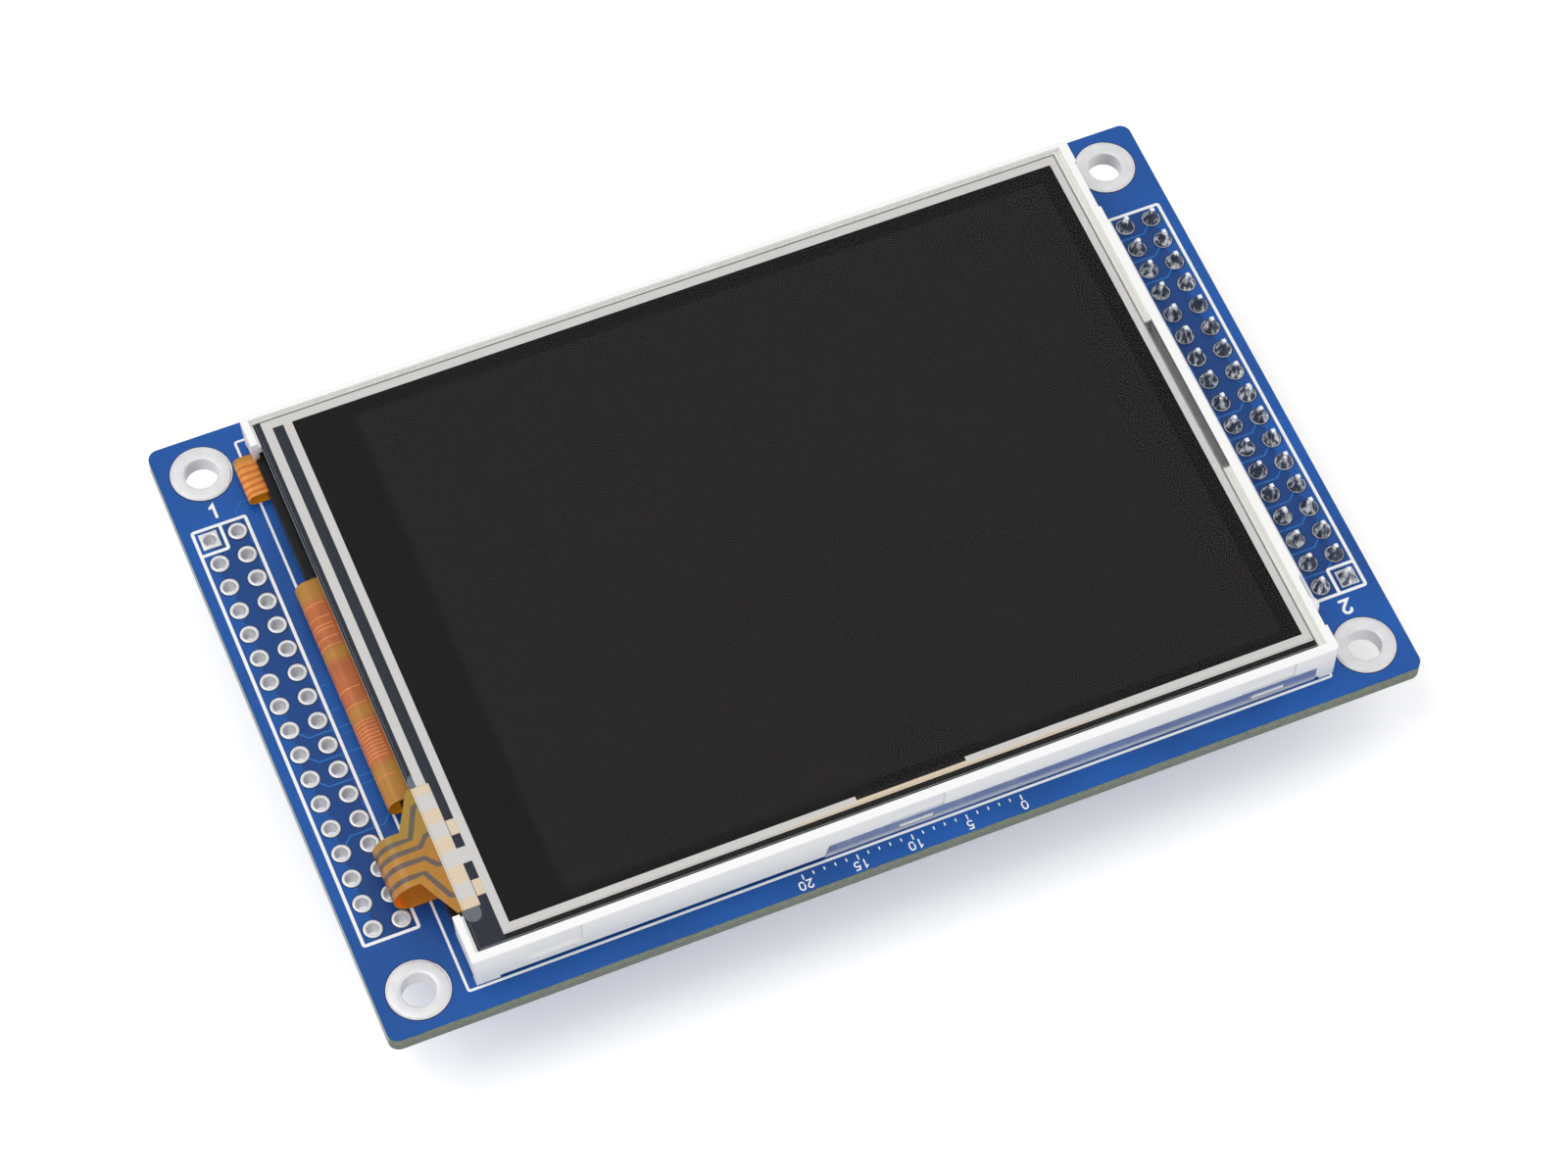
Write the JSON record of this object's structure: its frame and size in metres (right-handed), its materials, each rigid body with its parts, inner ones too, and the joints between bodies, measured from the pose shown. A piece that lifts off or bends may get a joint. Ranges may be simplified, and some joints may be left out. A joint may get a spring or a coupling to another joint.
{
  "type": "tft display module",
  "caption": "Small colour display with a resistive touch panel in a white frame, on a blue circuit board with corner mounting holes and pin headers at both ends.",
  "frame": {"origin": "centre of the four mounting holes, on the underside of the board", "axes": "+Z out of the screen, +X along the long side from the empty header to the header with pins"},
  "size_m": [0.0944, 0.0616, 0.0144],
  "materials": {
    "board": "blue solder mask over woven fibreglass, raw grey-green edges",
    "tinned_copper": "dull tinned copper pads",
    "solder": "bright wrinkled solder",
    "pin_metal": "plated square pins",
    "black_plastic": "fine matt moulded nylon",
    "white_plastic": "satin white moulded polycarbonate",
    "bright_sheet": "mirror-bright rolled sheet",
    "foam_tape": "double-sided foam tape",
    "black_tape": "black light-shield film",
    "optical_film": "clear and white optical sheets",
    "amber_film": "amber polyimide over copper tracks",
    "display_glass": "dark display glass",
    "polariser": "black polarising film",
    "silicon": "bare chip",
    "touch_pane": "clear glass over the dark display",
    "navy_ink": "navy adhesive ring",
    "silver_ink": "light grey silver ink",
    "clear_film": "clear polyester film",
    "clear_glue": "clear cured glue",
    "lamp": "lamp bodies with yellow phosphor",
    "chip_plastic": "moulded chip bodies",
    "chip_legs": "tinned legs and part ends",
    "capacitor_clay": "tan ceramic",
    "resistor_black": "black glazed resistor body"
  },
  "bodies": {
    "root": {"circuit_board": "board", "mount_hole_rings": "tinned_copper", "left_header_pads": "tinned_copper", "right_header_pads": "tinned_copper", "right_header_solder": "solder", "right_header_pins": "pin_metal", "right_header_body": "black_plastic", "moulded_frame": "white_plastic", "metal_shell": "bright_sheet", "mounting_tape": "foam_tape", "side_tape": "black_tape", "rim_tape": "black_tape", "reflector_sheet": "optical_film", "light_guide": "optical_film", "diffuser_sheet": "optical_film", "lower_prism_sheet": "optical_film", "upper_prism_sheet": "optical_film", "backlight_leds": "lamp", "backlight_flex": "amber_film", "main_flex": "amber_film", "touch_flex": "amber_film", "rear_polariser": "polariser", "front_polariser": "polariser", "tft_glass": "display_glass", "filter_glass": "display_glass", "driver_chip": "silicon", "touch_gasket": "black_tape", "touch_glass": "touch_pane", "touch_spacer": "navy_ink", "silver_tracks": "silver_ink", "touch_film": "clear_film", "tail_glue": "clear_glue", "touch_controller": "chip_plastic", "touch_controller_legs": "chip_legs", "regulator": "chip_plastic", "regulator_legs": "chip_legs", "backlight_transistor": "chip_plastic", "transistor_legs": "chip_legs", "capacitors": "capacitor_clay", "capacitor_ends": "chip_legs", "resistors": "resistor_black", "resistor_ends": "chip_legs"}
  },
  "joints": []
}
